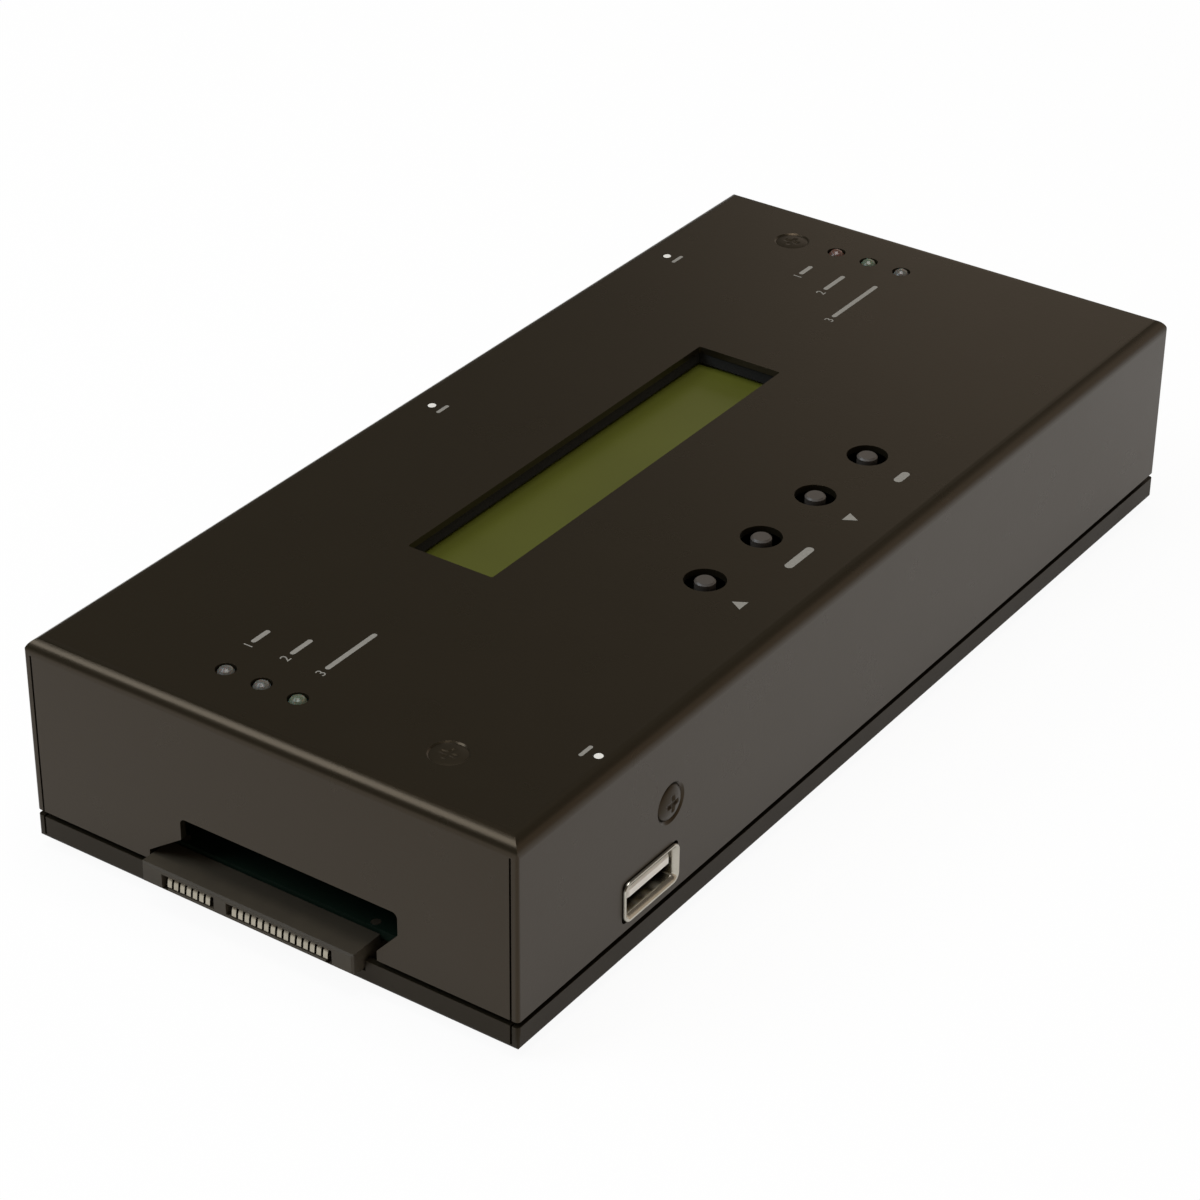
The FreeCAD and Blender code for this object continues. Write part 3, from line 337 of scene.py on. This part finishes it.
def numeral(text, height):
    """Vertices and faces of a numeral as a flat mesh with its lower left corner at the origin."""
    curve = bpy.data.curves.new("numeral", "FONT")
    curve.body = text
    curve.size = height / 0.73
    curve.extrude = 0.01 * MM
    carrier = bpy.data.objects.new("numeral", curve)
    bpy.context.scene.collection.objects.link(carrier)
    graph = bpy.context.evaluated_depsgraph_get()
    mesh = bpy.data.meshes.new_from_object(carrier.evaluated_get(graph))
    points = np.empty(len(mesh.vertices) * 3)
    mesh.vertices.foreach_get("co", points)
    faces = [list(face.vertices) for face in mesh.polygons]
    bpy.data.objects.remove(carrier)
    bpy.data.curves.remove(curve)
    bpy.data.meshes.remove(mesh)
    points = points.reshape(-1, 3)
    return points - points.min(axis=0), faces


def piece(name, parts, material, body=BODY, slot=None):
    """One object from several (vertices, faces) shapes in metres, riding on a body."""
    starts = np.cumsum([0] + [len(points) for points, _ in parts[:-1]])
    faces = []
    for start, (_, group) in zip(starts, parts):
        faces += [[i + start for i in face] for face in group]
    mesh = bpy.data.meshes.new(name)
    mesh.from_pydata(np.vstack([points for points, _ in parts]), [], faces)
    mesh.validate()
    mesh.materials.append(material)
    made = bpy.data.objects.new(name, mesh)
    bpy.context.scene.collection.objects.link(made)
    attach(made, body)
    return made


cover_low, cover_high = (np.array(corner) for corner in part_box("top_cover"))
TOP = cover_high[2]
INK = 0.02 * MM
MARK = 1.8 * MM


def printed(outline):
    """Ink prism that stands on the cover's top."""
    return prism(outline, TOP - INK / 4, TOP + INK)


def lamp_legends():
    """A plain number and a bar beside each lamp; the target end's stand before its lamps."""
    lengths = {"source": (5.3, 7.0, 14.1), "target": (5.1, 8.7, 17.0)}
    rise = {"source": 1.6 * MM, "target": 0.6 * MM}
    space, thick = 0.9 * MM, 0.9 * MM
    shapes = []
    for end, names in lengths.items():
        for i, (kind, length) in enumerate(zip(("power", "busy", "error"), names)):
            low, high = (np.array(corner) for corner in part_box(f"{end}_{kind}_lamp"))
            x, y = (low[:2] + high[:2]) / 2
            start = x + 7 * MM if end == "source" else x - 7.8 * MM - length * MM
            points, faces = numeral(str(i + 1), MARK)
            wide = points[:, 0].max()
            shapes.append((points + (start, y + rise[end] - MARK / 2, TOP - INK / 4), faces))
            rule = length * MM - wide - space
            middle = start + wide + space + rule / 2
            shapes.append(printed(bar(middle, y + rise[end], rule, thick)))
    return shapes


def key_marks():
    """Up mark, long bar, down mark and short bar below the four keys."""
    shapes = []
    for i in range(4):
        low, high = (np.array(corner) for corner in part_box(f"key_plunger_{i + 1}"))
        x, y = (low[:2] + high[:2]) / 2 + np.array([-3.0, -8.5]) * MM
        if i == 0:
            shapes.append(printed(wedge(x, y, 2.6 * MM, 0)))
        if i == 1:
            shapes.append(printed(bar(x + MM, y, 7.6 * MM, 1.5 * MM)))
        if i == 2:
            shapes.append(printed(wedge(x, y, 2.6 * MM, 180)))
        if i == 3:
            shapes.append(printed(bar(x, y, 3.8 * MM, 1.5 * MM)))
    return shapes


# Each port mark's x and y in mm, and which way along y the middle of the cover lies.
PORTS = ((-75.0, -43.5, 1), (-3.8, 41.0, -1), (68.0, 40.6, -1))


def port_dots():
    """A dot at the cover's edge above each port of the long walls."""
    wide, deep = 1.5 * MM, 1.4 * MM
    return [printed(bar(x * MM, y * MM, wide, deep)) for x, y, _ in PORTS]


def port_dashes():
    """A short dash on the inner side of each port's dot."""
    step, wide, deep = 2.3, 3.2 * MM, 0.7 * MM
    return [printed(bar(x * MM, (y + step * inward) * MM, wide, deep)) for x, y, inward in PORTS]


pale_ink = screen_ink("screen_printed_pale_ink", "#7a776f", "#8d8a83")
white_ink = screen_ink("screen_printed_white_ink", "#dad7d0", "#e6e4dd")
piece("printed_marks", lamp_legends() + key_marks() + port_dashes(), pale_ink)
piece("printed_dots", port_dots(), white_ink)


# ---- USB shells ----
def rounded_loop(wide, high, corner, grow):
    """Loops of points about the origin, each a rectangle with round corners grown by a distance.

    A corner's point is its arc's centre plus (corner + grow) times (cos a, sin a).
    """
    angle = np.linspace(0, math.pi / 2, 7)
    turn = (np.arange(4)[:, None] * math.pi / 2 + angle).ravel()
    side = np.sign(np.cos(np.arange(4) * math.pi / 2 + math.pi / 4)).repeat(7)
    rise = np.sign(np.sin(np.arange(4) * math.pi / 2 + math.pi / 4)).repeat(7)
    radius = corner + np.asarray(grow)[:, None]
    across = side * (wide / 2 - corner) + radius * np.cos(turn)
    up = rise * (high / 2 - corner) + radius * np.sin(turn)
    return across, up


def closed_tube(across, along, up, sign):
    """Vertices and faces of a ring section carried round a loop: both directions close."""
    rows, columns = across.shape
    points = np.stack([sign * across, sign * along, up], axis=-1).reshape(-1, 3)
    i, j = np.meshgrid(np.arange(rows), np.arange(columns), indexing="ij")
    after = (j + 1) % columns
    near, far = i * columns, (i + 1) % rows * columns
    corners = [near + j, far + j, far + after, near + after]
    return points, np.stack(corners, axis=-1).reshape(-1, 4).tolist()


def usb_shell(name, sign):
    """Drawn steel shell: its sheet's closed section, flared at the mouth, goes round the port.

    The section is given as (growth from the throat, depth behind the mouth) in mm.
    """
    low, high = (np.array(corner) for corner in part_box(name))
    section = np.array([
        (0, 13.6), (0, 1.05), (0.08, 0.75), (0.3, 0.4), (0.62, 0.08), (0.78, 0.0), (0.95, 0.02),
        (1.04, 0.14), (1.04, 0.6), (0.95, 0.85), (0.7, 1.1), (0.42, 1.4), (0.3, 1.7), (0.3, 13.6),
    ]) * MM
    wide, tall, corner, drop = 12.6 * MM, 5.2 * MM, 0.5 * MM, 3.65 * MM
    across, up = rounded_loop(wide, tall, corner, section[:, 0])
    along = np.broadcast_to(section[:, 1:], across.shape)
    points, faces = closed_tube(across, along, up, sign)
    mouth = low[1] if sign > 0 else high[1]
    middle = (low[0] + high[0]) / 2
    nickel = drawn_nickel(abs(mouth))
    made = piece(name + "_drawn", [(points + (middle, mouth, high[2] - drop), faces)], nickel)
    smooth(made, 40)
    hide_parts(name)


def smooth(made, limit):
    """Smooth shading below an edge angle, with every face turned outwards."""
    work = bmesh.new()
    work.from_mesh(made.data)
    bmesh.ops.recalc_face_normals(work, faces=work.faces)
    for face in work.faces:
        face.smooth = True
    for edge in work.edges:
        edge.smooth = edge.calc_face_angle(0.0) < math.radians(limit)
    work.to_mesh(made.data)
    work.free()


for end, sign in (("source", 1), ("target", -1)):
    usb_shell(end + "_usb_shell", sign)


# ---- SATA contacts ----
def sata_contacts(end, turn):
    """Sprung contact strips: one closed section in (depth behind the mouth, height over its floor)
    is carried straight across each contact's width. It rises steeply at the mouth, bends over a
    crown, falls to the floor, leaves through the rear wall and ends flat under the board."""
    name = end + "_sata_contacts"
    low, high = (np.array(corner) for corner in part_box("source_sata_contacts"))
    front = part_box("source_sata_housing")[0][0]
    board = (high[2] - low[2]) / MM
    strip = 0.25
    section = np.array([
        (0.2, 0.12), (0.27, 0.9), (0.4, 1.45), (0.6, 1.74), (0.9, 1.82), (1.5, 1.7), (3.6, strip),
        (7.2, strip), (7.45, board), (9.9, board), (9.9, board - strip), (7.7, board - strip),
        (7.45, 0.0), (3.5, 0.0), (1.38, 1.46), (0.98, 1.57), (0.78, 1.52), (0.63, 1.32),
        (0.52, 0.85), (0.45, 0.12),
    ]) * MM
    width, pitch, power_count, data_count = 0.84 * MM, 1.27 * MM, 15, 7
    rows = [low[1] + i * pitch for i in range(power_count)]
    rows += [high[1] - width - i * pitch for i in range(data_count)]
    shapes = []
    for start in rows:
        points, faces = prism(section, start, start + width)
        points = points[:, [0, 2, 1]] + (front, 0, low[2])
        shapes.append((points * turn, faces))
    made = piece(name + "_sprung", shapes, SATA_PLATING)
    smooth(made, 25)
    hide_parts(name)


sata_contacts("source", (1, 1, 1))
sata_contacts("target", (-1, -1, 1))


# ---- Screw heads ----
def screw_head(radius, rise, recess):
    """Head with a cross recess, its axis along z and its seat at z = 0: a flat half ellipsoid.
    Its height at distance r is rise * sqrt(1 - (r / radius)^2), less the cross's depth, which
    falls off smoothly at its sides."""
    half_slot, slot_slope, half_arm, arm_slope = 0.45 * MM, 0.2 * MM, 1.5 * MM, 0.3 * MM
    share = np.sin(np.linspace(0, math.pi / 2, 22))[:, None]
    angle = np.linspace(0, 2 * math.pi, 72, endpoint=False)
    across, up = radius * share * np.cos(angle), radius * share * np.sin(angle)
    dome = rise * np.sqrt(np.clip(1 - share ** 2, 0, 1)) + 0 * across
    arms = []
    for a, b in ((across, up), (up, across)):
        inside = np.clip((half_slot - np.abs(a)) / slot_slope, 0, 1)
        arms.append(inside * np.clip((half_arm - np.abs(b)) / arm_slope, 0, 1))
    out = dome - recess * np.maximum(*arms)
    rows, columns = across.shape
    points = np.stack([across, up, out], axis=-1).reshape(-1, 3)
    i, j = np.meshgrid(np.arange(1, rows - 1), np.arange(columns), indexing="ij")
    after = (j + 1) % columns
    near, far = i * columns, (i + 1) * columns
    quads = np.stack([near + j, far + j, far + after, near + after], axis=-1)
    points = np.vstack([points[columns:], points[:1]])
    faces = (quads.reshape(-1, 4) - columns).tolist()
    ring = np.arange(columns)
    faces += np.column_stack([ring, np.roll(ring, -1), np.full(columns, len(points) - 1)]).tolist()
    faces.append(((rows - 2) * columns + ring).tolist())
    return points, faces


def painted_screws(name, heads):
    """Heads painted over with the cover, in place of a node of screws; the shanks are hidden."""
    made = piece(name + "_painted", heads, PAINTED_SCREW)
    smooth(made, 50)
    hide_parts(name)


def side_screws():
    """Both long walls' raised heads."""
    low, high = (np.array(corner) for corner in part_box("cover_side_screws"))
    reach, seat = 3.2 * MM, 0.55 * MM
    points, faces = screw_head(3.1 * MM, 1.0 * MM, 0.4 * MM)
    heads = []
    for x, wall, sign in ((low[0] + reach, cover_low[1], -1), (high[0] - reach, cover_high[1], 1)):
        place = (x, wall - sign * seat, (low[2] + high[2]) / 2)
        heads.append((points[:, [0, 2, 1]] * (1, sign, 1) + place, faces))
    painted_screws("cover_side_screws", heads)


def top_screws():
    """Both nearly flush heads in the cover's top: their rims lie a little below it."""
    low, high = (np.array(corner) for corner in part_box("cover_top_screws"))
    radius, rise = 3.2 * MM, 0.3 * MM
    points, faces = screw_head(radius, rise, 0.16 * MM)
    middles = (low[:2] + radius, high[:2] - radius)
    heads = [(points + (x, y, high[2] - rise), faces) for x, y in middles]
    painted_screws("cover_top_screws", heads)


side_screws()
top_screws()


# ---- Studio ----
def floor_paper():
    """Matt white studio paper: plain white to the eye and to gloss, and it keeps the shadow.
    Its lower side is clear, so that the feet and the tray show from below."""
    material = bpy.data.materials.new("white_studio_paper")
    material.use_nodes = True
    tree = material.node_tree
    tree.nodes.clear()
    paper = add(tree, "BsdfDiffuse", {"Color": linear("#fbfaf8")})
    glow = add(tree, "Emission", {"Color": linear("#ffffff"), "Strength": 1.0})
    path = add(tree, "LightPath")
    ways = {0: path.outputs["Is Camera Ray"], 1: path.outputs["Is Transmission Ray"]}
    seen = add(tree, "Math", ways, operation="MAXIMUM")
    gloss = add(tree, "Math", {0: path.outputs["Is Glossy Ray"], 1: 0.5}, operation="MULTIPLY")
    shares = {0: seen.outputs[0], 1: gloss.outputs[0]}
    share = add(tree, "Math", shares, operation="MAXIMUM", use_clamp=True)
    share = add(tree, "Math", {0: share.outputs[0], 1: 0.94}, operation="MULTIPLY")
    both = add(tree, "MixShader", {0: share.outputs[0], 1: paper.outputs[0], 2: glow.outputs[0]})
    below = add(tree, "NewGeometry").outputs["Backfacing"]
    clear = add(tree, "BsdfTransparent").outputs[0]
    seen_part = add(tree, "MixShader", {0: below, 1: both.outputs[0], 2: clear})
    add(tree, "OutputMaterial", {"Surface": seen_part.outputs[0]})
    return material


def make_floor(half):
    """Square floor at z = 0."""
    corners = [(-half, -half, 0), (half, -half, 0), (half, half, 0), (-half, half, 0)]
    mesh = bpy.data.meshes.new("studio_floor")
    mesh.from_pydata(corners, [], [(0, 1, 2, 3)])
    mesh.materials.append(floor_paper())
    made = bpy.data.objects.new("studio_floor", mesh)
    bpy.context.scene.collection.objects.link(made)


def soft_box(name, place, size, power, colour=(1, 1, 1)):
    """Square area lamp at a place, aimed at the case's middle."""
    lamp = bpy.data.lights.new(name, "AREA")
    lamp.shape = "SQUARE"
    lamp.size = size
    lamp.energy = power
    lamp.color = colour
    made = bpy.data.objects.new(name, lamp)
    aim = Vector((0, 0, TOP / 2)) - Vector(place)
    turn = aim.to_track_quat("-Z", "Y").to_matrix().to_4x4()
    made.matrix_world = Matrix.Translation(place) @ turn
    bpy.context.scene.collection.objects.link(made)


def make_world():
    """Dim room with a paler, low wall beyond the target end, towards the front.
    The room is white to the eye."""
    world = bpy.data.worlds.new("studio")
    world.use_nodes = True
    bpy.context.scene.world = world
    tree = world.node_tree
    tree.nodes.clear()
    way = add(tree, "TexCoord").outputs["Generated"]
    height = add(tree, "SeparateXYZ", {0: way}).outputs[2]
    wall_turn = math.radians(31)
    side = (math.sin(wall_turn), -math.cos(wall_turn), 0)
    across = add(tree, "VectorMath", {0: way, 1: side}, operation="DOT_PRODUCT").outputs["Value"]
    span = {"Value": height, "From Min": 0.46, "From Max": 0.50, "To Min": 1.0, "To Max": 0.0}
    low = add(tree, "MapRange", span)
    front = add(tree, "MapRange", {"Value": across, "From Min": -0.05, "From Max": 0.02})
    wall = add(tree, "Math", {0: low.outputs[0], 1: front.outputs[0]}, operation="MULTIPLY")
    span = {"Value": wall.outputs[0], "To Min": 0.12, "To Max": 0.64}
    level = add(tree, "MapRange", span).outputs[0]
    colours = {0: level, 6: (0, 0, 0, 1), 7: linear("#ffeedc")}
    tint = add(tree, "Mix", colours, data_type="RGBA").outputs[2]
    eye = add(tree, "LightPath").outputs["Is Camera Ray"]
    colour = add(tree, "Mix", {0: eye, 6: tint, 7: linear("#fdfdfd")}, data_type="RGBA").outputs[2]
    back = add(tree, "Background", {"Color": colour, "Strength": 1.0})
    add(tree, "OutputWorld", {"Surface": back.outputs[0]})


def make_camera():
    """Long lens from above the front source corner."""
    azimuth, elevation, roll = np.radians([-55.455, 31.675, 0.565])
    back = Vector((
        math.sin(azimuth) * math.cos(elevation),
        -math.cos(azimuth) * math.cos(elevation),
        math.sin(elevation),
    ))
    right = (-back).cross(Vector((0, 0, 1))).normalized()
    up = right.cross(-back)
    tilted_right = math.cos(roll) * right + math.sin(roll) * up
    tilted_up = math.cos(roll) * up - math.sin(roll) * right
    lens = bpy.data.cameras.new("camera")
    lens.sensor_width = 36
    lens.lens = 106.04
    made = bpy.data.objects.new("camera", lens)
    turn = Matrix((tilted_right, tilted_up, back)).transposed().to_4x4()
    made.matrix_world = Matrix.Translation((-0.4273, -0.2860, 0.3296)) @ turn
    bpy.context.scene.collection.objects.link(made)
    bpy.context.scene.camera = made


make_floor(4.0)
soft_box("overhead_lamp", (0, 0, 1.6), 0.9, 15.5)
soft_box("edge_lamp", (-0.85, 0.82, 1.17), 0.8, 12, (0.8, 0.9, 1.0))
make_world()
make_camera()
bpy.context.scene.view_settings.view_transform = "Standard"
